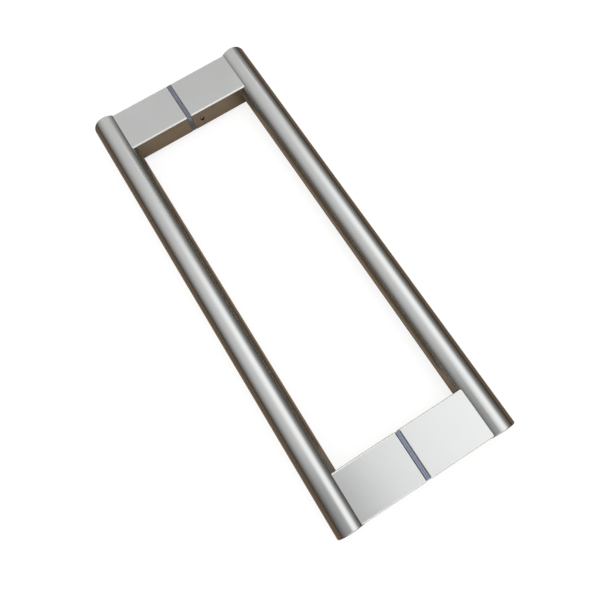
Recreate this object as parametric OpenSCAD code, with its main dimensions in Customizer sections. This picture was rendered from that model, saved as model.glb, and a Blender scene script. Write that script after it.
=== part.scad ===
// Back-to-back pull handle for a glass door, lying flat with its two halves closed on each other.
// X runs across the two halves, Y along the tubes and Z up. The mid plane between the halves is X = 0.
// The left half carries the studs. The right half slides over their bushes and is held by lock screws.

/* [Tubes] */
// Outside diameter of each tube
tube_d = 25; // [24:0.5:32]
// Wall thickness of each tube
tube_wall = 1.5; // [1.2:0.1:2.5]
// Length of each tube
tube_l = 407; // [250:1:800]
// Rounding of the outer edge at each end of a tube
tube_edge_r = 1; // [0.3:0.1:1.2]
// Distance from the mid plane to the axis of each tube
tube_reach = 65.5; // [60:0.5:90]
// How far each end of a tube stands out past the outer face of its block
tube_proud = 0.5; // [0.1:0.1:2]
// Thickness of the cap in each end of a tube
cap_t = 4; // [2:0.5:8]
// Chamfer round the outer face of a cap
cap_edge = 0.4; // [0.2:0.1:1]

/* [Blocks] */
// Width of a block along the tube
block_w = 41; // [34:1:60]
// Height of a block
block_h = 19; // [18.5:0.5:22]
// Rounding along the edges of a block
block_edge_r = 1.2; // [0.2:0.1:1.5]

/* [Gaskets and glass] */
// Thickness of one gasket
gasket_t = 1.5; // [1:0.25:3]
// How far a gasket stays inside the outline of its block
gasket_inset = 0.4; // [0.1:0.1:1.5]
// Thickness of the door glass that the sleeves are cut for
glass_t = 10; // [8:1:12]

/* [Stud and sleeve] */
// Diameter of the stud's thread
stud_d = 8; // [6:0.5:9]
// Diameter of the collar that pulls the left block on to its tube
collar_d = 13; // [12:0.5:14]
// Thickness of the collar
collar_t = 6; // [4:0.5:8]
// Thread that is left in the bush when the glass is in place
stud_hold = 8; // [6:0.5:12]
// How far the stud stands out past the tube nut
stud_proud = 2; // [0.5:0.5:4]
// Hex socket in the tail of the stud, across flats
stud_socket = 4; // [3:0.5:4]
// Depth of that socket
stud_socket_depth = 5; // [3:0.5:8]
// Wall of the sleeve
sleeve_wall = 1.2; // [0.8:0.1:1.5]

/* [Bush and lock screw] */
// Diameter of the bush that the right block slides over
bush_d = 15; // [14:0.5:16]
// Length of the bush
bush_l = 14; // [13:0.5:16]
// Depth of the groove round the bush
groove_depth = 1.5; // [1:0.1:2]
// Width of the driver slot across the bush
slot_w = 2; // [1.5:0.1:2.5]
// Depth of the driver slot
slot_depth = 1; // [0.5:0.1:1.5]
// Distance of the lock screw from the glass face of its block
lock_from_face = 9; // [7.5:0.1:9]
// Diameter of the lock screw's thread
lock_d = 4; // [3:0.5:5]
// How far a lock screw that is driven home sits inside the inner face of its block
lock_recess = 0.45; // [0.2:0.05:4]
// How far the upper lock screw is backed out of the groove, to let the half slide off
lock_backed_out = 1.45; // [0:0.05:3]
// Diameter of the flat at the lock screw's point
lock_point_d = 2.5; // [1.5:0.1:3]
// Hex socket of the lock screw, across flats
lock_socket = 2; // [1.5:0.5:2]
// Depth of that socket
lock_socket_depth = 2.5; // [2:0.5:4]

/* [Block screw and tube nuts] */
// Diameter of the block screw's thread
screw_d = 8; // [6:0.5:9]
// Length of the block screw under its head
screw_l = 20; // [18:1:25]
// Diameter of the block screw's head
head_d = 13; // [11:0.5:14]
// Height of the block screw's head
head_h = 8; // [6:0.5:9]
// Hex socket of the block screw, across flats
screw_socket = 6; // [5:0.5:6]
// Depth of that socket
screw_socket_depth = 4; // [3:0.5:5]
// Metal left between the right block's bore and its saddle
web_t = 8; // [6:0.5:10]
// Diameter of a tube nut
nut_d = 16; // [14:0.5:18]
// Thickness of a tube nut on its axis
nut_t = 8; // [6:0.5:9]

/* [Fits] */
// Gap between a block's saddle and its tube
saddle_gap = 0.1; // [0.05:0.05:0.3]
// Radial gap of a thread or a press fit
fit_gap = 0.05; // [0.02:0.01:0.1]
// Radial gap of a part that slides through a hole
slide_gap = 0.2; // [0.1:0.05:0.3]
// Gap between the end of the sleeve and the stud's collar
sleeve_gap = 0.5; // [0.2:0.1:1]

/* [Hidden] */
$fn = 96;
// How far a cutting shape runs past the surface that it cuts
past = 1;
left = -1;
right = 1;
upper = 1;
lower = -1;

// Heights and places along the tubes
axis_z = tube_d / 2;
block_y = tube_l / 2 - tube_proud - block_w / 2;

// Radii on the tube
tube_bore_r = tube_d / 2 - tube_wall;
saddle_r = tube_d / 2 + saddle_gap;

// Places along a clamp axis, counted outwards from the mid plane
wall_x = tube_reach - tube_bore_r;
nut_end_x = wall_x + nut_t;
seat_x = tube_reach - saddle_r - web_t;
sleeve_l = glass_t + 2 * gasket_t;
collar_x = sleeve_l - gasket_t + sleeve_gap;
collar_seat_x = collar_x + collar_t;
tail_l = gasket_t + glass_t + stud_hold;
lock_x = gasket_t + lock_from_face;

// Diameters that follow from the fits
sleeve_bore_d = stud_d + 2 * slide_gap;
sleeve_d = sleeve_bore_d + 2 * sleeve_wall;
gasket_hole_d = sleeve_d + 2 * slide_gap;
lock_bore_d = max(bush_d, head_d) + 2 * slide_gap;
collar_bore_d = max(collar_d, sleeve_d) + 2 * slide_gap;
groove_r = bush_d / 2 - groove_depth;
groove_floor = lock_point_d + 2 * slide_gap;

// The lock screw's point, counted from the axis of its bush, and its length
lock_tip_y = groove_r + fit_gap;
lock_l = block_w / 2 - lock_tip_y - lock_recess;

// A quarter arc of three chords, for a rounded edge
function quarter(x, y, r, start) =
    [for (turn = [0 : 30 : 90]) [x + r * cos(start + turn), y + r * sin(start + turn)]];

// A rectangle with rounded corners
function rounded_rect(a, b, r) = concat(
    quarter(a / 2 - r, b / 2 - r, r, 0),
    quarter(r - a / 2, b / 2 - r, r, 90),
    quarter(r - a / 2, r - b / 2, r, 180),
    quarter(a / 2 - r, r - b / 2, r, 270)
);

// Sets a shape on one clamp axis: X outwards from the mid plane, Y towards the end of the tube
module on_clamp(side, end)
    mirror([side == left ? 1 : 0, 0, 0])
        mirror([0, end == lower ? 1 : 0, 0])
            translate([0, block_y, axis_z])
                children();

// Turns a shape that stands along Z to lie along X
module along_x() rotate([0, 90, 0]) children();

// Turns a shape that stands along Z to lie along Y
module along_y() rotate([-90, 0, 0]) children();

// A round hole along X, between two distances from the mid plane
module x_hole(d, from, to)
    translate([from, 0, 0])
        along_x() cylinder(d = d, h = to - from);

// A hex socket that sinks along Z from the origin
module hex_socket(flats, depth)
    translate([0, 0, -past])
        cylinder(d = flats / cos(30), h = depth + past, $fn = 6);

// A solid bar from the glass face to the tube's axis, with all its edges rounded
module rounded_bar() {
    bar_l = tube_reach - gasket_t;
    translate([gasket_t + bar_l / 2, 0, 0])
        intersection() {
            along_x() linear_extrude(bar_l, center = true) polygon(rounded_rect(block_h, block_w, block_edge_r));
            along_y() linear_extrude(block_w, center = true) polygon(rounded_rect(bar_l, block_h, block_edge_r));
            linear_extrude(block_h, center = true) polygon(rounded_rect(bar_l, block_w, block_edge_r));
        }
}

// The cut that copes a block to its tube
module saddle_cut()
    translate([tube_reach, -block_w / 2 - past, 0])
        along_y() cylinder(r = saddle_r, h = block_w + 2 * past);

// One grip: a tube with rounded end edges and a hole for each of its two fixings
module tube(side) color("silver") {
    half = tube_l / 2;
    outer = tube_d / 2;
    corner = outer - tube_edge_r;
    difference() {
        translate([side * tube_reach, 0, axis_z])
            along_y() rotate_extrude()
                polygon(concat(
                    [[tube_bore_r, -half]],
                    quarter(corner, tube_edge_r - half, tube_edge_r, -90),
                    quarter(corner, half - tube_edge_r, tube_edge_r, 0),
                    [[tube_bore_r, half]]
                ));
        for (end = [upper, lower])
            on_clamp(side, end)
                x_hole((side == left ? stud_d : screw_d) + 2 * slide_gap, tube_reach - outer - past, tube_reach);
    }
}

// The disc that closes one end of a tube, flush with it
module cap(side, end) color("gainsboro") {
    rim = tube_bore_r - fit_gap;
    on_clamp(side, end)
        translate([tube_reach, block_w / 2 + tube_proud - cap_t, 0])
            along_y() rotate_extrude()
                polygon([[0, 0], [rim, 0], [rim, cap_t - cap_edge], [rim - cap_edge, cap_t], [0, cap_t]]);
}

// A block of the left half: the stud passes right through it, and its collar seats in the wide mouth
module stud_block(end) color("lightgray")
    on_clamp(left, end)
        difference() {
            rounded_bar();
            saddle_cut();
            x_hole(stud_d + 2 * slide_gap, 0, tube_reach);
            x_hole(collar_bore_d, 0, collar_seat_x);
        }

// A block of the right half: a bore for the bush and the block screw, crossed by the lock screw's hole
module lock_block(end) color("lightgray")
    on_clamp(right, end)
        difference() {
            rounded_bar();
            saddle_cut();
            x_hole(screw_d + 2 * slide_gap, 0, tube_reach);
            x_hole(lock_bore_d, 0, seat_x);
            translate([lock_x, -block_w / 2 - past, 0])
                along_y() cylinder(d = lock_d + 2 * fit_gap, h = block_w / 2 + past);
        }

// A soft clear plate between a block and the glass
module gasket(side, end) color("lightsteelblue") {
    plate_w = block_w - 2 * gasket_inset;
    plate_h = block_h - 2 * gasket_inset;
    on_clamp(side, end)
        difference() {
            translate([0, -plate_w / 2, -plate_h / 2]) cube([gasket_t, plate_w, plate_h]);
            x_hole(gasket_hole_d, -past, gasket_t + past);
        }
}

// The collar stud, from the left tube's nut to its tail inside the right block
module stud(end) color("darkgray") {
    thread_r = stud_d / 2;
    collar_r = collar_d / 2;
    root_x = nut_end_x + stud_proud;
    on_clamp(left, end)
        along_x() difference() {
            rotate_extrude()
                polygon([
                    [0, -tail_l], [thread_r, -tail_l], [thread_r, collar_x], [collar_r, collar_x],
                    [collar_r, collar_seat_x], [thread_r, collar_seat_x], [thread_r, root_x], [0, root_x]
                ]);
            translate([0, 0, -tail_l]) hex_socket(stud_socket, stud_socket_depth);
        }
}

// The sleeve that keeps the stud off the edge of the glass hole, pushed back into the left block's mouth
module sleeve(end) color("ivory")
    on_clamp(right, end)
        translate([gasket_t - sleeve_l, 0, 0])
            along_x() difference() {
                cylinder(d = sleeve_d, h = sleeve_l);
                translate([0, 0, -past]) cylinder(d = sleeve_bore_d, h = sleeve_l + 2 * past);
            }

// The bush on the stud's tail: a groove for the lock screw, and a driver slot across its outer end
module bush(end) color("dimgray") {
    rim = bush_d / 2;
    thread_r = stud_d / 2 + fit_gap;
    groove_lip = groove_floor / 2 + groove_depth;
    on_clamp(right, end)
        translate([gasket_t, 0, 0])
            along_x() difference() {
                rotate_extrude()
                    polygon([
                        [thread_r, 0], [rim, 0],
                        [rim, lock_from_face - groove_lip], [groove_r, lock_from_face - groove_floor / 2],
                        [groove_r, lock_from_face + groove_floor / 2], [rim, lock_from_face + groove_lip],
                        [rim, bush_l], [thread_r, bush_l]
                    ]);
                translate([-slot_w / 2, -bush_d / 2 - past, bush_l - slot_depth])
                    cube([slot_w, bush_d + 2 * past, slot_depth + past]);
            }
}

// The grub screw in a right block. Driven home, its point lies in the bush's groove.
module lock_screw(end) color("dimgray") {
    thread_r = lock_d / 2;
    point_r = lock_point_d / 2;
    shoulder = lock_l - (thread_r - point_r);
    backed_out = end == upper ? lock_backed_out : 0;
    on_clamp(right, end)
        translate([lock_x, -lock_tip_y - lock_l - backed_out, 0])
            along_y() difference() {
                rotate_extrude()
                    polygon([[0, 0], [thread_r, 0], [thread_r, shoulder], [point_r, lock_l], [0, lock_l]]);
                hex_socket(lock_socket, lock_socket_depth);
            }
}

// The socket cap screw at the bottom of a right block's bore, which pulls the block on to its tube
module block_screw(end) color("darkgray") {
    thread_r = screw_d / 2;
    head_r = head_d / 2;
    on_clamp(right, end)
        translate([seat_x - head_h, 0, 0])
            along_x() difference() {
                rotate_extrude()
                    polygon([
                        [0, 0], [head_r, 0], [head_r, head_h],
                        [thread_r, head_h], [thread_r, head_h + screw_l], [0, head_h + screw_l]
                    ]);
                hex_socket(screw_socket, screw_socket_depth);
            }
}

// The nut inside a tube, curved to the wall that it sits on
module tube_nut(side, end) color("gray")
    on_clamp(side, end)
        difference() {
            intersection() {
                x_hole(nut_d, tube_reach - tube_d / 2, nut_end_x);
                translate([tube_reach, -nut_d / 2 - past, 0])
                    along_y() cylinder(r = tube_bore_r - fit_gap, h = nut_d + 2 * past);
            }
            x_hole((side == left ? stud_d : screw_d) + 2 * fit_gap, 0, nut_end_x + past);
        }

tube(left);  // left_tube
tube(right);  // right_tube
cap(left, upper);  // left_upper_cap
cap(left, lower);  // left_lower_cap
cap(right, upper);  // right_upper_cap
cap(right, lower);  // right_lower_cap
stud_block(upper);  // left_upper_block
stud_block(lower);  // left_lower_block
lock_block(upper);  // right_upper_block
lock_block(lower);  // right_lower_block
gasket(left, upper);  // left_upper_gasket
gasket(left, lower);  // left_lower_gasket
gasket(right, upper);  // right_upper_gasket
gasket(right, lower);  // right_lower_gasket
stud(upper);  // upper_stud
stud(lower);  // lower_stud
sleeve(upper);  // upper_sleeve
sleeve(lower);  // lower_sleeve
bush(upper);  // upper_bush
bush(lower);  // lower_bush
lock_screw(upper);  // upper_lock_screw
lock_screw(lower);  // lower_lock_screw
block_screw(upper);  // upper_block_screw
block_screw(lower);  // lower_block_screw
tube_nut(left, upper);  // left_upper_tube_nut
tube_nut(left, lower);  // left_lower_tube_nut
tube_nut(right, upper);  // right_upper_tube_nut
tube_nut(right, lower);  // right_lower_tube_nut
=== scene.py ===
import math

import bmesh
import bpy
from mathutils import Matrix, Vector


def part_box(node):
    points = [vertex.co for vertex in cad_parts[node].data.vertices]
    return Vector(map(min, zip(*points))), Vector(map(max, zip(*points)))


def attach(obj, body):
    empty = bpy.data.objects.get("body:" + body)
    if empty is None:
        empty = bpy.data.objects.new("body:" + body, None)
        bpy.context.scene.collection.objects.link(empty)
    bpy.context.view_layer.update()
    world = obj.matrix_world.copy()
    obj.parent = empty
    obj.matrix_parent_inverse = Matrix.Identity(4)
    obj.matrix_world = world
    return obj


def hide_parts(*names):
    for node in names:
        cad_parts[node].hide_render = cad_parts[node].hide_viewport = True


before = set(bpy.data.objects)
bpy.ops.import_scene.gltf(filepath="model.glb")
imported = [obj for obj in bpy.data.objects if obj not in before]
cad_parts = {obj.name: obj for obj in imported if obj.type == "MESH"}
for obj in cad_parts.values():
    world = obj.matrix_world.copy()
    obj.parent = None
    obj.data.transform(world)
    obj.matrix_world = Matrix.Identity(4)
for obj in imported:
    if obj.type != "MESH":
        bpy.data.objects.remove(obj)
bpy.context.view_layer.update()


# The camera stands over the lower end of the handle, looking steeply down and along the tubes,
# a little to the right and slightly rolled. It has a plain wide lens, with the picture cropped
# a little off its middle, and no depth of field.
CAMERA_AT = (-0.0464754, -0.1594412, 0.3955719)
CAMERA_HEADING = math.radians(21.7917)
CAMERA_TILT = math.radians(75.0807)
CAMERA_ROLL = math.radians(-10.6591)
CAMERA_LENS = 29.8775
CAMERA_SHIFT = (-0.028303, 0.053569)
CAMERA_SENSOR = 36
CAMERA_NEAREST = 0.01

camera = bpy.data.objects.new("camera", bpy.data.cameras.new("camera"))
camera.data.lens = CAMERA_LENS
camera.data.sensor_width = CAMERA_SENSOR
camera.data.shift_x, camera.data.shift_y = CAMERA_SHIFT
camera.data.clip_start = CAMERA_NEAREST
aim = Matrix.Rotation(-CAMERA_HEADING, 4, "Z") @ Matrix.Rotation(math.pi / 2 - CAMERA_TILT, 4, "X")
camera.matrix_world = Matrix.Translation(CAMERA_AT) @ aim @ Matrix.Rotation(CAMERA_ROLL, 4, "Z")
bpy.context.collection.objects.link(camera)
bpy.context.scene.camera = camera
bpy.context.scene.view_settings.view_transform = "Standard"


# The stage is a pale floor that takes the handle's shadow and renders white round it. A brown card just
# over the floor shows only in reflections, and gives the metal its warm dark sides. A dark line runs round
# it a little way from the handle, and a brown strip stands on edge between the tubes.
FLOOR_HALF = 3.0
FLOOR_Z = -0.0006
FLOOR_COLOUR = (0.25, 0.25, 0.25, 1)
FLOOR_LIFT = 0.82
FLOOR_FAR_LIFT = 0.22
FLOOR_FAR_FROM = 0.6
FLOOR_FAR_FULL = 2.0
CARD_Z = -0.0003
CARD_COLOUR = (0.368, 0.267, 0.182, 1)
CARD_LINE = (0.121, 0.088, 0.060, 1)
CARD_FAR = (0.209, 0.152, 0.103, 1)
LINE_FROM = 0.0190
LINE_FULL = 0.0250
CARD_FAR_FROM = 0.0253
CARD_FAR_FULL = 0.0356
STRIP_COLOUR = (0.250, 0.167, 0.090, 1)
STRIP_HALF = 0.130
STRIP_TOP = 0.020
MATT = {"Roughness": 1, "Specular_IOR_Level": 0}


class Tone:
    """A socket of a node tree. Sums of tones are written as Python, and each operator adds a Math node."""

    def __init__(self, socket):
        self.socket = socket

    def node(self, kind, settings, feeds, take=0):
        """Adds a node of any kind to this tone's tree, sets it up, feeds it and gives one output."""
        made = self.socket.id_data.nodes.new("ShaderNode" + kind)
        for name, value in settings.items():
            setattr(made, name, value)
        for name, value in feeds.items():
            feed(made.inputs[name], value)
        return Tone(made.outputs[take])

    def part(self, axis):
        """One coordinate of a vector."""
        return self.node("SeparateXYZ", {}, {"Vector": self}, axis)

    def blend(self, one, two):
        """A colour between two, by this tone from 0 to 1."""
        return self.node("Mix", {"data_type": "RGBA", "clamp_factor": True}, {0: self, 6: one, 7: two}, 2)

    def math(self, operation, first, second):
        """A Math node of two values."""
        return self.node("Math", {"operation": operation}, {0: first, 1: second})

    def __add__(self, other):
        return self.math("ADD", self, other)

    def __radd__(self, other):
        return self.math("ADD", other, self)

    def __sub__(self, other):
        return self.math("SUBTRACT", self, other)

    def __rsub__(self, other):
        return self.math("SUBTRACT", other, self)

    def __mul__(self, other):
        return self.math("MULTIPLY", self, other)

    def __rmul__(self, other):
        return self.math("MULTIPLY", other, self)

    def __truediv__(self, other):
        return self.math("DIVIDE", self, other)

    def __rtruediv__(self, other):
        return self.math("DIVIDE", other, self)

    def __pow__(self, other):
        return self.math("POWER", self, other)

    def __rpow__(self, other):
        return self.math("POWER", other, self)

    def at_least(self, low):
        """The larger of this and another value."""
        return self.math("MAXIMUM", self, low)

    def at_most(self, high):
        """The smaller of this and another value."""
        return self.math("MINIMUM", self, high)

    def size(self):
        """The value without its sign."""
        return self.at_least(-1 * self)

    def length_with(self, other):
        """How far two offsets at right angles come to together."""
        return (self * self + other * other) ** 0.5

    def fade(self, full, gone):
        """1 up to one value, and from there softly down to 0 at another."""
        return self.node("MapRange", {"interpolation_type": "SMOOTHSTEP"},
                         {"Value": self, "From Min": gone, "From Max": full})


def feed(socket, value):
    """Sets a socket, or links it where the value is a tone."""
    if isinstance(value, Tone):
        socket.id_data.links.new(value.socket, socket)
    else:
        socket.default_value = value


def new_finish(name, **constants):
    """A material whose shader holds the given constants, with that shader and its object coordinates."""
    finish = bpy.data.materials.new(name)
    finish.use_nodes = True
    shader = finish.node_tree.nodes["Principled BSDF"]
    for socket, value in constants.items():
        shader.inputs[socket.replace("_", " ")].default_value = value
    place = Tone(finish.node_tree.nodes.new("ShaderNodeTexCoord").outputs["Object"])
    return finish, shader, place


def level_corners(low, high, level):
    """The corners of a level rectangle."""
    near = [(low[0], low[1], level), (high[0], low[1], level)]
    return near + [(high[0], high[1], level), (low[0], high[1], level)]


def stage_sheet(name, corners, paint):
    """A flat sheet of the stage between four corners."""
    mesh = bpy.data.meshes.new(name)
    mesh.from_pydata(corners, [], [(0, 1, 2, 3)])
    mesh.materials.append(paint)
    sheet = bpy.data.objects.new(name, mesh)
    bpy.context.collection.objects.link(sheet)
    return sheet


def show_in_gloss_only(sheet):
    """Keeps a sheet out of everything but reflections."""
    sheet.visible_camera = False
    sheet.visible_diffuse = False
    sheet.visible_transmission = False
    sheet.visible_shadow = False


floor_paint, floor_shader, floor_place = new_finish(
    "floor_paint", Base_Color=FLOOR_COLOUR, Emission_Strength=FLOOR_LIFT, **MATT)
rays = floor_paint.node_tree.nodes.new("ShaderNodeLightPath").outputs
seen = Tone(rays["Is Camera Ray"]) + Tone(rays["Is Glossy Ray"]) + Tone(rays["Is Transmission Ray"])
floor_away = floor_place.part("X").length_with(floor_place.part("Y"))
floor_far = 1 - floor_away.fade(FLOOR_FAR_FROM, FLOOR_FAR_FULL)
feed(floor_shader.inputs["Emission Color"], seen.at_most(1) * (1 + FLOOR_FAR_LIFT * floor_far))
whole_floor = (-FLOOR_HALF, -FLOOR_HALF), (FLOOR_HALF, FLOOR_HALF)
stage_sheet("floor", level_corners(*whole_floor, FLOOR_Z), floor_paint)

card_paint, card_shader, card_place = new_finish("card_paint", **MATT)
tube_low, tube_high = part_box("right_tube")
inner_face_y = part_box("right_upper_block")[0].y
card_x = card_place.part("X").size()
card_y = card_place.part("Y").size()
between = (tube_low.x - card_x).at_most(inner_face_y - card_y)
outside = (card_x - tube_high.x).at_least(card_y - tube_high.y)
away = between.at_least(outside)
lined = ((away - LINE_FROM) / (LINE_FULL - LINE_FROM)).blend(CARD_COLOUR, CARD_LINE)
beyond = (away - CARD_FAR_FROM) / (CARD_FAR_FULL - CARD_FAR_FROM)
feed(card_shader.inputs["Base Color"], beyond.blend(lined, CARD_FAR))
show_in_gloss_only(stage_sheet("brown_card", level_corners(*whole_floor, CARD_Z), card_paint))

strip_paint = new_finish("strip_paint", Base_Color=STRIP_COLOUR, **MATT)[0]
strip_foot = [(0, -STRIP_HALF, CARD_Z), (0, STRIP_HALF, CARD_Z)]
strip_head = [(0, STRIP_HALF, STRIP_TOP), (0, -STRIP_HALF, STRIP_TOP)]
show_in_gloss_only(stage_sheet("card_strip", strip_foot + strip_head, strip_paint))


# The light is a soft white dome over the handle, brown at its rim and bright overhead and at its two ends.
# A large soft box on its right draws the bright line along each tube, and a small one stands behind. A net
# scrim over the near end darkens the lower left block. None of them shows to the camera.
BLACK = (0, 0, 0, 1)
WHITE = (1, 1, 1, 1)
DOME_R = 3.0
DOME_AROUND = 48
DOME_UP = 24
DOME_FOOT = -0.0001
DOME_RIM = (0.0395, 0.017, 0)
DOME_RISE = 0.815
RISE_FROM = 0.065
RISE_POWER = 1.239
DIM_RIGHT = 0.335
LIFT_LEFT = 0.366
LIFT_BACK = 0.608
LIFT_FRONT = 0.460
FRONT_GLOW = 1.226
BACK_GLOW = 1.896
END_FROM = 0.731
END_FULL = 0.931
SOFT_BOX = {"centre": (0.464, -0.312), "full": (0, 0.604), "gone": (0.800, 1.404), "strength": 0.971}
BACK_BOX = {"centre": (0.695, 0.995), "full": (0.270, 0), "gone": (0.370, 0.100), "strength": 1.387}
BOX_LOWEST = 0.05
SCRIM_LOW = (-1.690, -0.3554)
SCRIM_HIGH = (-0.0378, -0.1482)
SCRIM_Z = 0.42
SCRIM_STOPS = 0.419

dome_mesh = bpy.data.meshes.new("light_dome")
dome_bm = bmesh.new()
bmesh.ops.create_uvsphere(dome_bm, u_segments=DOME_AROUND, v_segments=DOME_UP, radius=DOME_R)
below = [vert for vert in dome_bm.verts if vert.co.z < DOME_FOOT]
bmesh.ops.delete(dome_bm, geom=below, context="VERTS")
dome_bm.to_mesh(dome_mesh)
dome_bm.free()
dome = bpy.data.objects.new("light_dome", dome_mesh)
dome.location.z = FLOOR_Z
bpy.context.collection.objects.link(dome)
dome.visible_camera = False

dome_glow, dome_shader, dome_place = new_finish(
    "dome_glow", Base_Color=BLACK, Specular_IOR_Level=0, Emission_Strength=1)
reach = dome_place.node("VectorMath", {"operation": "NORMALIZE"}, {0: dome_place})
right = reach.part("X")
back = reach.part("Y")
height = reach.part("Z").at_least(0)
sides = (1 - DIM_RIGHT * right.at_least(0)) * (1 - LIFT_LEFT * right.at_most(0))
ends = (1 + LIFT_BACK * back.at_least(0)) * (1 - LIFT_FRONT * back.at_most(0))
rise = ((height - RISE_FROM) / (1 - RISE_FROM)).at_least(0)
glow = DOME_RISE * rise ** RISE_POWER * sides * ends
glow = glow + BACK_GLOW * back.fade(END_FULL, END_FROM) + FRONT_GLOW * back.fade(-END_FULL, -END_FROM)
for box in (SOFT_BOX, BACK_BOX):
    across = (right / height.at_least(BOX_LOWEST) - box["centre"][0]).size()
    along = (back / height.at_least(BOX_LOWEST) - box["centre"][1]).size()
    lit = across.fade(box["full"][0], box["gone"][0]) * along.fade(box["full"][1], box["gone"][1])
    glow = glow + box["strength"] * lit
white_glow = glow.node("CombineXYZ", {}, {"X": glow, "Y": glow, "Z": glow})
warm_glow = white_glow.node("VectorMath", {"operation": "ADD"}, {0: white_glow, 1: DOME_RIM})
feed(dome_shader.inputs["Emission Color"], warm_glow)
dome_mesh.materials.append(dome_glow)

scrim_net = new_finish("scrim_net", Base_Color=BLACK, Alpha=SCRIM_STOPS, **MATT)[0]
show_in_gloss_only(stage_sheet("net_scrim", level_corners(SCRIM_LOW, SCRIM_HIGH, SCRIM_Z), scrim_net))

world = bpy.data.worlds.new("white_room")
world.use_nodes = True
world.node_tree.nodes["Background"].inputs["Color"].default_value = WHITE
bpy.context.scene.world = world


# The two grips are round steel tubes, cut to length with their end edges rounded over, and brushed
# lengthwise to a satin finish. Each has two holes on its inner side for the fixings of its blocks.
SIDES = ("left", "right")
ENDS = ("upper", "lower")
OUTWARD = {"left": -1, "right": 1}
TUBE_STEPS = 144
TUBE_WALL = 0.0015
TUBE_EDGE = 0.001
TUBE_EDGE_STEPS = 5
TUBE_HOLE = 0.0084
DRILL_STEPS = 64
PAST = 0.001
WELD = 0.000002
SHARP = math.radians(35)
STEEL_COLOUR = (0.543, 0.565, 0.566, 1)
TUBE_ROUGHNESS = 0.226
TUBE_GRAIN = (2600, 14, 2600)
TUBE_SCRATCH = 0.000004
SCRATCH_DETAIL = 3
SCRATCH_FINE = 0.6
SCRATCH_SHARE = 0.55
SCRATCH_DULLS = 0.03
SCRATCH_RELIEF = 0.05
CLOUD_SCALE = 55
CLOUD_DETAIL = 2
CLOUD_SHARE = 0.45
CLOUD_DULLS = 0.02
DULL = 0.96
DULL_UP_TO = 0.28
SHADE_CONTRAST = 2.2
NOISE_MIDDLE = 0.5


def turned(rows, steps):
    """A mesh turned round Z from rows of radius and height, each a number or a function of the angle.
    Rows that start and end on the axis make a solid, and others close on themselves as a ring."""
    bm = bmesh.new()
    angles = [2 * math.pi * step / steps for step in range(steps)]
    rings = []
    for radius, level in rows:
        if radius == 0:
            rings.append([bm.verts.new((0, 0, level))] * steps)
            continue
        ring = []
        for angle in angles:
            r = radius(angle) if callable(radius) else radius
            z = level(angle) if callable(level) else level
            ring.append(bm.verts.new((r * math.cos(angle), r * math.sin(angle), z)))
        rings.append(ring)
    pairs = list(zip(rings, rings[1:]))
    if rows[0][0] != 0:
        pairs.append((rings[-1], rings[0]))
    for one, two in pairs:
        for step in range(steps):
            after = (step + 1) % steps
            corners = dict.fromkeys((one[step], one[after], two[after], two[step]))
            bm.faces.new(corners)
    bmesh.ops.recalc_face_normals(bm, faces=bm.faces)
    return bm


def lay(bm, axis, at):
    """Turns a mesh that stands along Z to lie along X or Y, or against it, and moves it to a place."""
    turn = Vector((0, 0, 1)).rotation_difference(Vector(axis)).to_matrix().to_4x4()
    bm.transform(Matrix.Translation(at) @ turn)
    return bm


def shape(bm, name):
    """Puts a mesh into the scene as an object."""
    mesh = bpy.data.meshes.new(name)
    bm.to_mesh(mesh)
    bm.free()
    piece = bpy.data.objects.new(name, mesh)
    bpy.context.collection.objects.link(piece)
    return piece


def cut(piece, cutter):
    """Takes a cutter's shape out of a piece, clears the cutter away and welds corners that meet."""
    bite = piece.modifiers.new("bite", "BOOLEAN")
    bite.operation = "DIFFERENCE"
    bite.solver = "EXACT"
    bite.object = cutter
    bpy.context.view_layer.update()
    left_over = piece.evaluated_get(bpy.context.evaluated_depsgraph_get())
    piece.data = bpy.data.meshes.new_from_object(left_over)
    piece.modifiers.clear()
    bpy.data.objects.remove(cutter)
    bm = bmesh.new()
    bm.from_mesh(piece.data)
    bmesh.ops.remove_doubles(bm, verts=bm.verts, dist=WELD)
    bmesh.ops.dissolve_degenerate(bm, edges=bm.edges, dist=WELD)
    bm.to_mesh(piece.data)
    bm.free()


def drill(piece, diameter, axis, start, end, steps=DRILL_STEPS):
    """Bores a round hole through a piece, between two places on an axis. The drill is turned half a step,
    so that its corners don't meet those of the piece."""
    radius = diameter / 2
    length = (Vector(end) - Vector(start)).length
    rod = turned([(0, 0), (radius, 0), (radius, length), (0, length)], steps)
    rod.transform(Matrix.Rotation(math.pi / steps, 4, "Z"))
    cut(piece, shape(lay(rod, axis, start), "cutter"))


def fit(piece, node, finish):
    """Gives a piece its finish and puts it in place of a CAD node of the same form."""
    piece.data.materials.clear()
    piece.data.materials.append(finish)
    piece.data.polygons.foreach_set("use_smooth", [True] * len(piece.data.polygons))
    piece.data.set_sharp_from_angle(angle=SHARP)
    even = piece.modifiers.new("even_normals", "WEIGHTED_NORMAL")
    even.keep_sharp = True
    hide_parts(node)
    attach(piece, "root")


def noise(place, scale, detail):
    """A cloudy noise over a piece."""
    return place.node("TexNoise", {}, {"Vector": place, "Scale": scale, "Detail": detail}, "Fac")


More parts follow.
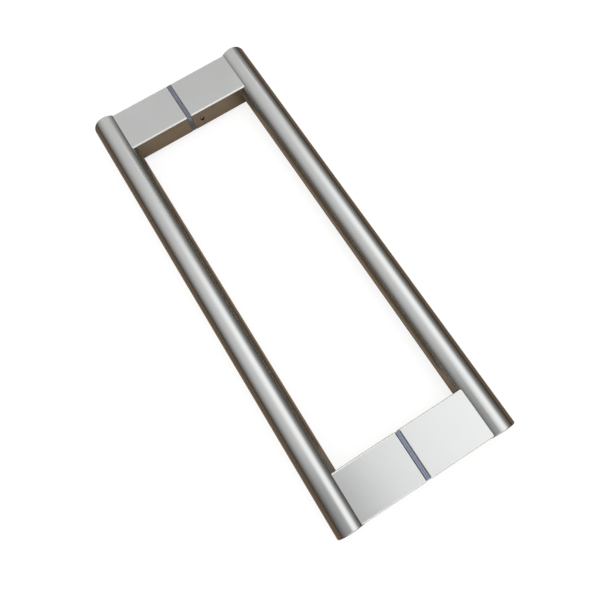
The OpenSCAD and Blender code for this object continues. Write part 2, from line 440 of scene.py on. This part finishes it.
def satin_steel(name, colour, roughness, grain, scratch_depth):
    """Satin steel: fine scratches that run along the long side of the grain, over a faint cloudiness."""
    finish, shader, place = new_finish(name, Metallic=1)
    stretched = place.node("VectorMath", {"operation": "MULTIPLY"}, {0: place, 1: grain})
    brush = {"Vector": stretched, "Scale": 1, "Detail": SCRATCH_DETAIL, "Roughness": SCRATCH_FINE}
    scratch = place.node("TexNoise", {}, brush, "Fac")
    cloud = noise(place, CLOUD_SCALE, CLOUD_DETAIL)
    dull = tuple(DULL * value for value in colour[:3]) + (1,)
    shade = (SCRATCH_SHARE * scratch + CLOUD_SHARE * cloud - DULL_UP_TO) * SHADE_CONTRAST
    feed(shader.inputs["Base Color"], shade.blend(dull, colour))
    uneven = SCRATCH_DULLS * (scratch - NOISE_MIDDLE) + CLOUD_DULLS * (cloud - NOISE_MIDDLE)
    feed(shader.inputs["Roughness"], roughness + uneven)
    relief = {"Strength": SCRATCH_RELIEF, "Distance": scratch_depth, "Height": scratch}
    feed(shader.inputs["Normal"], place.node("Bump", {}, relief))
    return finish


def rounded_corner(r_out, r_corner, z_corner, start):
    """Points of radius and height round a quarter of a rounded edge."""
    turns = [start + step * math.pi / 2 / TUBE_EDGE_STEPS for step in range(TUBE_EDGE_STEPS + 1)]
    r_middle = r_out - r_corner
    return [(r_middle + r_corner * math.cos(turn), z_corner + r_corner * math.sin(turn)) for turn in turns]


tube_satin = satin_steel("tube_satin", STEEL_COLOUR, TUBE_ROUGHNESS, TUBE_GRAIN, TUBE_SCRATCH)
tube_axis = {}
tube_radius = {}
for side in SIDES:
    low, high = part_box(side + "_tube")
    middle = (low + high) / 2
    radius = (high.z - low.z) / 2
    half = (high.y - low.y) / 2
    tube_axis[side] = middle
    tube_radius[side] = radius
    rows = [(radius - TUBE_WALL, -half)]
    rows += rounded_corner(radius, TUBE_EDGE, TUBE_EDGE - half, -math.pi / 2)
    rows += rounded_corner(radius, TUBE_EDGE, half - TUBE_EDGE, 0)
    rows.append((radius - TUBE_WALL, half))
    tube = shape(lay(turned(rows, TUBE_STEPS), (0, 1, 0), middle), side + "_grip_tube")
    for end in ENDS:
        block_low, block_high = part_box(side + "_" + end + "_block")
        hole_y = (block_low.y + block_high.y) / 2
        hole_start = (middle.x - OUTWARD[side] * (radius + PAST), hole_y, middle.z)
        drill(tube, TUBE_HOLE, (OUTWARD[side], 0, 0), hole_start, (middle.x, hole_y, middle.z))
    fit(tube, side + "_tube", tube_satin)


# A round nut of zinc-plated steel sits inside each tube behind its hole, with one face milled to the curve
# of the wall. The studs screw into the left ones and the block screws into the right ones.
PLATED_COLOUR = (0.52, 0.53, 0.54, 1)
PLATED_ROUGHNESS = 0.26
PLATED_GRAIN = (700, 700, 700)
PLATED_SCRATCH = 0.000002
FIXING_STEPS = 48
NUT_D = 0.016
NUT_BORE = 0.0081
NUT_FACE_STEPS = 5
WALL_GAP = 0.00005


def wall_curve(wall, radius):
    """How far a tube's wall falls away from the nut's axis at a radius, as a function of the angle."""
    def level(angle):
        return wall - math.sqrt(wall ** 2 - (radius * math.cos(angle)) ** 2)
    return level


plated_steel = satin_steel("plated_steel", PLATED_COLOUR, PLATED_ROUGHNESS, PLATED_GRAIN, PLATED_SCRATCH)
for side in SIDES:
    for end in ENDS:
        node = side + "_" + end + "_tube_nut"
        low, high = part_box(node)
        wall = tube_radius[side] - TUBE_WALL - WALL_GAP
        flat_x = high.x if side == "right" else low.x
        top_x = tube_axis[side].x - OUTWARD[side] * wall
        thick = abs(flat_x - top_x)
        stride = (NUT_D - NUT_BORE) / 2 / NUT_FACE_STEPS
        spread = [NUT_BORE / 2 + step * stride for step in range(NUT_FACE_STEPS + 1)]
        rows = [(radius, wall_curve(wall, radius)) for radius in spread]
        rows += [(NUT_D / 2, thick), (NUT_BORE / 2, thick)]
        at = (top_x, (low.y + high.y) / 2, tube_axis[side].z)
        ring = lay(turned(rows, FIXING_STEPS), (OUTWARD[side], 0, 0), at)
        fit(shape(ring, side + "_" + end + "_round_nut"), node, plated_steel)


# A steel disc closes each end of a tube, pressed in flush and faced on the lathe with it.
# Its outer edge is eased, so that a fine line shows between disc and tube.
ENDWARD = {"upper": (0, 1, 0), "lower": (0, -1, 0)}
CAP_EDGE = 0.0004
CAP_ROUGHNESS = 0.30
CAP_GRAIN = (900, 900, 900)
CAP_SCRATCH = 0.000003

cap_satin = satin_steel("cap_satin", STEEL_COLOUR, CAP_ROUGHNESS, CAP_GRAIN, CAP_SCRATCH)
for side in SIDES:
    for end in ENDS:
        node = side + "_" + end + "_cap"
        low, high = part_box(node)
        inner_y = low.y if end == "upper" else high.y
        rim = (high.z - low.z) / 2
        thick = high.y - low.y
        rows = [(0, 0), (rim, 0), (rim, thick - CAP_EDGE), (rim - CAP_EDGE, thick), (0, thick)]
        at = (tube_axis[side].x, inner_y, tube_axis[side].z)
        disc = lay(turned(rows, TUBE_STEPS), ENDWARD[end], at)
        fit(shape(disc, side + "_" + end + "_end_cap"), node, cap_satin)


# The four blocks are solid steel bar, coped to the tube at one end and finished to a fine matt. Their edges
# are rounded over on a belt, and painted paler and duller than the faces as a painted highlight. The left
# ones are bored for the stud and its collar, and the right ones for the bush, the block screw and, in the
# inner face, the lock screw.
BLOCK_EDGE = 0.0012
BLOCK_EDGE_STEPS = 6
ROUND = 0.5
SADDLE_GAP = 0.0001
STUD_HOLE = 0.0084
COLLAR_BORE = 0.0134
COLLAR_SEAT_X = 0.018
LOCK_BORE = 0.0154
LOCK_BORE_END_X = 0.0449
LOCK_HOLE = 0.0041
BLOCK_ROUGHNESS = 0.23
BLOCK_GRAIN = (1500, 700, 1500)
BLOCK_SCRATCH = 0.000003
EDGE_HIGHLIGHT_COLOUR = (0.76, 0.76, 0.75, 1)
EDGE_HIGHLIGHT_METAL = 0.4
EDGE_HIGHLIGHT_BLEND = 0.0004


def open_again(finish):
    """The shader of a finish, with its object coordinates and its colour, for what is added to it."""
    nodes = finish.node_tree.nodes
    shader = nodes["Principled BSDF"]
    colour = shader.inputs["Base Color"].links[0].from_socket
    return shader, Tone(nodes["Texture Coordinate"].outputs["Object"]), Tone(colour)


def bar(centre, size):
    """A square-edged bar."""
    bm = bmesh.new()
    bmesh.ops.create_cube(bm, size=1, matrix=Matrix.Translation(centre) @ Matrix.Diagonal(size.to_4d()))
    return bm


def rounded_bar(centre, size, edge, steps):
    """A bar with all its edges rounded over."""
    bm = bar(centre, size)
    bmesh.ops.bevel(bm, geom=bm.edges[:], offset=edge, segments=steps, profile=ROUND, affect="EDGES")
    return bm


block_satin = satin_steel("block_satin", STEEL_COLOUR, BLOCK_ROUGHNESS, BLOCK_GRAIN, BLOCK_SCRATCH)
block_shader, block_place, block_colour = open_again(block_satin)
low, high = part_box("right_upper_block")
middle = (low + high) / 2
# Painted highlight: the rounded edges are painted paler and less metallic than the faces.
past_y = (block_place.part("Y").size() - middle.y).size() - (high.y - middle.y - BLOCK_EDGE)
past_z = (block_place.part("Z") - middle.z).size() - (high.z - middle.z - BLOCK_EDGE)
edge_highlight = (past_y.at_most(past_z) / EDGE_HIGHLIGHT_BLEND).at_least(0).at_most(1)
feed(block_shader.inputs["Base Color"], edge_highlight.blend(block_colour, EDGE_HIGHLIGHT_COLOUR))
feed(block_shader.inputs["Metallic"], 1 - (1 - EDGE_HIGHLIGHT_METAL) * edge_highlight)
for side in SIDES:
    axis = tube_axis[side]
    for end in ENDS:
        node = side + "_" + end + "_block"
        low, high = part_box(node)
        glass_x = low.x if side == "right" else high.x
        size = Vector((abs(axis.x - glass_x), high.y - low.y, high.z - low.z))
        centre = Vector(((axis.x + glass_x) / 2, (low.y + high.y) / 2, (low.z + high.z) / 2))
        blank = rounded_bar(centre, size, BLOCK_EDGE, BLOCK_EDGE_STEPS)
        block = shape(blank, side + "_" + end + "_coped_block")
        saddle = 2 * (tube_radius[side] + SADDLE_GAP)
        saddle_start = (axis.x, low.y - PAST, axis.z)
        saddle_end = (axis.x, high.y + PAST, axis.z)
        drill(block, saddle, (0, 1, 0), saddle_start, saddle_end, TUBE_STEPS)
        outward = (OUTWARD[side], 0, 0)
        mouth = (glass_x - OUTWARD[side] * PAST, centre.y, centre.z)
        drill(block, STUD_HOLE, outward, mouth, (axis.x, centre.y, centre.z))
        if side == "left":
            drill(block, COLLAR_BORE, outward, mouth, (-COLLAR_SEAT_X, centre.y, centre.z))
        else:
            drill(block, LOCK_BORE, outward, mouth, (LOCK_BORE_END_X, centre.y, centre.z))
            lock_low, lock_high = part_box(end + "_lock_screw")
            lock_x = (lock_low.x + lock_high.x) / 2
            inner_y = low.y - PAST if end == "upper" else high.y + PAST
            lock_mouth = (lock_x, inner_y, centre.z)
            drill(block, LOCK_HOLE, ENDWARD[end], lock_mouth, (lock_x, centre.y, centre.z))
        fit(block, node, block_satin)


# A socket cap screw of plated steel at the bottom of each right block's bore draws the block on to its
# tube. Its head is turned with an eased edge, and a key reaches its hex socket through the bore.
HEAD_H = 0.008
HEAD_EDGE = 0.0006
SCREW_D = 0.008
SCREW_PITCH = 0.00125
SCREW_SOCKET = 0.006
SCREW_SOCKET_DEPTH = 0.004
THREAD_DEPTH = 0.61
THREAD_ROWS = 8
CREST = 1 / 16
FLANK = 5 / 16


def ridge(diameter, pitch, level, limit):
    """The radius of a right-hand thread at one height, as a function of the angle."""
    def radius(angle):
        turn = (level / pitch - angle / (2 * math.pi)) % 1
        groove = min(max((abs(turn - 1 / 2) - CREST) / FLANK, 0), 1)
        return min(diameter / 2 - THREAD_DEPTH * pitch * groove, limit)
    return radius


def thread(diameter, pitch, start, end):
    """Rows of a thread between two heights, which runs out to its root at both ends."""
    root = diameter / 2 - THREAD_DEPTH * pitch
    count = round(THREAD_ROWS * (end - start) / pitch)
    levels = [start + (end - start) * index / count for index in range(count + 1)]
    limits = [root + min(level - start, end - level) for level in levels]
    return [(ridge(diameter, pitch, level, limit), level) for level, limit in zip(levels, limits)]


def hexagon(flats):
    """The radius of a hexagon, as a function of the angle."""
    def radius(angle):
        return flats / 2 / math.cos(angle % (math.pi / 3) - math.pi / 6)
    return radius


def left_end(low, high):
    """The middle of the left face of a box."""
    return Vector((low.x, (low.y + high.y) / 2, (low.z + high.z) / 2))


for end in ENDS:
    low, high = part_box(end + "_block_screw")
    length = high.x - low.x
    head = (high.z - low.z) / 2
    rows = [(0, SCREW_SOCKET_DEPTH), (hexagon(SCREW_SOCKET), SCREW_SOCKET_DEPTH)]
    rows += [(hexagon(SCREW_SOCKET), 0), (head - HEAD_EDGE, 0), (head, HEAD_EDGE), (head, HEAD_H)]
    rows += thread(SCREW_D, SCREW_PITCH, HEAD_H, length)
    rows.append((0, length))
    screw = shape(lay(turned(rows, FIXING_STEPS), (1, 0, 0), left_end(low, high)), end + "_cap_screw")
    fit(screw, end + "_block_screw", plated_steel)


# Each end has a collar stud of zinc-plated steel, turned from bar and threaded on both sides of its collar.
# The long end draws the left block on to the nut in its tube, and the tail carries the bush in the right
# block. A hex socket in the tail takes the key.
STUD_D = 0.008
STUD_PITCH = 0.00125
COLLAR_D = 0.013
COLLAR_T = 0.006
COLLAR_EDGE = 0.0004
STUD_SOCKET = 0.004
STUD_SOCKET_DEPTH = 0.005

for end in ENDS:
    low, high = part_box(end + "_stud")
    length = high.x - low.x
    collar = -COLLAR_SEAT_X - low.x
    rows = [(0, 0)] + thread(STUD_D, STUD_PITCH, 0, collar)
    rows += [(COLLAR_D / 2 - COLLAR_EDGE, collar), (COLLAR_D / 2, collar + COLLAR_EDGE)]
    rows.append((COLLAR_D / 2, collar + COLLAR_T - COLLAR_EDGE))
    rows.append((COLLAR_D / 2 - COLLAR_EDGE, collar + COLLAR_T))
    rows += thread(STUD_D, STUD_PITCH, collar + COLLAR_T, length)
    rows += [(hexagon(STUD_SOCKET), length), (hexagon(STUD_SOCKET), length - STUD_SOCKET_DEPTH)]
    rows.append((0, length - STUD_SOCKET_DEPTH))
    stud = shape(lay(turned(rows, FIXING_STEPS), (1, 0, 0), left_end(low, high)), end + "_collar_stud")
    fit(stud, end + "_stud", plated_steel)


# A pair of soft clear gaskets sits between the blocks where the door glass goes, one stuck to each block.
# They are cut from cast sheet with a faint blue tint, with a hole for the stud's sleeve. The lower pair is
# painted lighter than the upper, as painted light for the brighter light at the lower end. Light that
# enters from above makes their sides paler below the top edge.
GASKET_EDGE = 0.00025
GASKET_EDGE_STEPS = 2
GASKET_HOLE = 0.0112
GASKET_CLEAR = 0.3
GASKET_IOR = 1.49
GASKET_CLOUD = 160
GASKET_CLOUD_DETAIL = 3
GASKET_ROUGHNESS = 0.30
GASKET_UNEVEN = 0.12
UPPER_COLOUR = (0.150, 0.180, 0.265, 1)
UPPER_PALE = (0.185, 0.218, 0.310, 1)
LOWER_LIT_COLOUR = (0.235, 0.290, 0.420, 1)
LOWER_LIT_PALE = (0.290, 0.345, 0.485, 1)
GASKET_LOW = (0.200, 0.228, 0.252, 1)
GASKET_LIT = (0.560, 0.650, 0.830, 1)
LIT_DEPTH = 0.0080
LIT_FULL = 0.0012
LIT_TOP = 0.0007
LIT_END = 0.0002

gasket_clear, gasket_shader, gasket_place = new_finish(
    "gasket_clear", Transmission_Weight=GASKET_CLEAR, IOR=GASKET_IOR, Specular_IOR_Level=1)
gasket_cloud = noise(gasket_place, GASKET_CLOUD, GASKET_CLOUD_DETAIL)
lower_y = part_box("lower_stud")[0].y
upper_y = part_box("upper_stud")[0].y
# Painted light: the lower gaskets are painted lighter than the upper ones, for the brighter light there.
upper_tint = gasket_cloud.blend(UPPER_COLOUR, UPPER_PALE)
lower_lit_tint = gasket_cloud.blend(LOWER_LIT_COLOUR, LOWER_LIT_PALE)
gasket_top = gasket_place.part("Y").fade(lower_y, upper_y).blend(upper_tint, lower_lit_tint)
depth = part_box("left_upper_gasket")[1].z - gasket_place.part("Z")
gasket_side = depth.fade(LIT_FULL, LIT_DEPTH).blend(GASKET_LOW, GASKET_LIT)
feed(gasket_shader.inputs["Base Color"], depth.fade(LIT_END, LIT_TOP).blend(gasket_side, gasket_top))
feed(gasket_shader.inputs["Roughness"], GASKET_ROUGHNESS + GASKET_UNEVEN * gasket_cloud)
for side in SIDES:
    for end in ENDS:
        node = side + "_" + end + "_gasket"
        low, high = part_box(node)
        centre = (low + high) / 2
        plate = rounded_bar(centre, high - low, GASKET_EDGE, GASKET_EDGE_STEPS)
        gasket = shape(plate, side + "_" + end + "_clear_gasket")
        hole_start = (low.x - PAST, centre.y, centre.z)
        hole_end = (high.x + PAST, centre.y, centre.z)
        drill(gasket, GASKET_HOLE, (1, 0, 0), hole_start, hole_end)
        fit(gasket, node, gasket_clear)


# A sleeve of natural nylon, cut from tube, slides on the stud and keeps its steel off the edge of the glass
# hole. With the handle closed it stands back in the mouth of the left block.
SLEEVE_WALL = 0.0012
SLEEVE_EDGE = 0.0002
NYLON_COLOUR = (0.70, 0.69, 0.63, 1)
NYLON_PALE = (0.78, 0.77, 0.72, 1)
NYLON_GLOSS = 0.4
NYLON_CLOUD = 300
NYLON_CLOUD_DETAIL = 2
NYLON_ROUGHNESS = 0.42
NYLON_UNEVEN = 0.15

nylon, nylon_shader, nylon_place = new_finish("nylon", Specular_IOR_Level=NYLON_GLOSS)
nylon_cloud = noise(nylon_place, NYLON_CLOUD, NYLON_CLOUD_DETAIL)
feed(nylon_shader.inputs["Base Color"], nylon_cloud.blend(NYLON_COLOUR, NYLON_PALE))
feed(nylon_shader.inputs["Roughness"], NYLON_ROUGHNESS + NYLON_UNEVEN * nylon_cloud)
for end in ENDS:
    low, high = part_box(end + "_sleeve")
    length = high.x - low.x
    outer = (high.z - low.z) / 2
    inner = outer - SLEEVE_WALL
    rows = [(inner, 0), (outer - SLEEVE_EDGE, 0), (outer, SLEEVE_EDGE), (outer, length - SLEEVE_EDGE)]
    rows += [(outer - SLEEVE_EDGE, length), (inner, length)]
    sleeve = shape(lay(turned(rows, FIXING_STEPS), (1, 0, 0), left_end(low, high)), end + "_nylon_sleeve")
    fit(sleeve, end + "_sleeve", nylon)


# A plated steel bush screws on the tail of each stud, against the gasket. Its groove takes the point of the
# lock screw, and a slot across its outer end takes a driver.
BUSH_BORE = 0.0081
BUSH_EDGE = 0.0003
GROOVE_DEPTH = 0.0015
GROOVE_FLOOR = 0.0029
DRIVER_SLOT_W = 0.002
DRIVER_SLOT_DEPTH = 0.001

for end in ENDS:
    low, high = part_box(end + "_bush")
    length = high.x - low.x
    rim = (high.z - low.z) / 2
    lock_low, lock_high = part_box(end + "_lock_screw")
    groove = (lock_low.x + lock_high.x) / 2 - low.x
    lip = GROOVE_FLOOR / 2 + GROOVE_DEPTH
    rows = [(BUSH_BORE / 2, 0), (rim - BUSH_EDGE, 0), (rim, BUSH_EDGE), (rim, groove - lip)]
    rows.append((rim - GROOVE_DEPTH, groove - GROOVE_FLOOR / 2))
    rows.append((rim - GROOVE_DEPTH, groove + GROOVE_FLOOR / 2))
    rows += [(rim, groove + lip), (rim, length - BUSH_EDGE)]
    rows += [(rim - BUSH_EDGE, length), (BUSH_BORE / 2, length)]
    at = left_end(low, high)
    bush = shape(lay(turned(rows, FIXING_STEPS), (1, 0, 0), at), end + "_grooved_bush")
    slot_size = Vector((2 * DRIVER_SLOT_DEPTH, 2 * (rim + PAST), DRIVER_SLOT_W))
    cut(bush, shape(bar((high.x, at.y, at.z), slot_size), "cutter"))
    fit(bush, end + "_bush", plated_steel)


# The lock screws are grub screws of dark steel, with a hex socket that is painted black inside as painted
# shade. Each comes in through the inner face of a right block. The lower one is driven home, with its point
# in the bush's groove, and the upper one is backed out a little, so that its end stands out of the face.
LOCK_D = 0.004
LOCK_PITCH = 0.0007
LOCK_POINT_D = 0.0025
LOCK_SOCKET = 0.002
LOCK_SOCKET_DEPTH = 0.0025
LOCK_MOUTH_D = 0.0025
LOCK_MOUTH = 0.0002
DARK_COLOUR = (0.30, 0.29, 0.275, 1)
DARK_ROUGHNESS = 0.26
DARK_GRAIN = (900, 900, 900)
DARK_SCRATCH = 0.000002
SOCKET_SHADE = (0.035, 0.030, 0.026, 1)
SOCKET_SHADE_TO = 0.00115
SOCKET_SHADE_END = 0.00135

dark_steel = satin_steel("dark_steel", DARK_COLOUR, DARK_ROUGHNESS, DARK_GRAIN, DARK_SCRATCH)
dark_shader, dark_place, dark_colour = open_again(dark_steel)
low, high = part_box("upper_lock_screw")
middle = (low + high) / 2
# Painted shade: the hex socket and a thin ring round it are painted near black.
from_axis = (dark_place.part("X") - middle.x).length_with(dark_place.part("Z") - middle.z)
socket_shade = from_axis.fade(SOCKET_SHADE_TO, SOCKET_SHADE_END).blend(dark_colour, SOCKET_SHADE)
feed(dark_shader.inputs["Base Color"], socket_shade)
for end in ENDS:
    low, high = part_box(end + "_lock_screw")
    length = high.y - low.y
    shoulder = length - (LOCK_D - LOCK_POINT_D) / 2
    rows = [(0, LOCK_SOCKET_DEPTH), (hexagon(LOCK_SOCKET), LOCK_SOCKET_DEPTH)]
    rows += [(hexagon(LOCK_SOCKET), LOCK_MOUTH), (LOCK_MOUTH_D / 2, 0)]
    rows += thread(LOCK_D, LOCK_PITCH, 0, shoulder)
    rows += [(LOCK_POINT_D / 2, length), (0, length)]
    at = ((low.x + high.x) / 2, low.y if end == "upper" else high.y, (low.z + high.z) / 2)
    grub = shape(lay(turned(rows, FIXING_STEPS), ENDWARD[end], at), end + "_grub_screw")
    fit(grub, end + "_lock_screw", dark_steel)
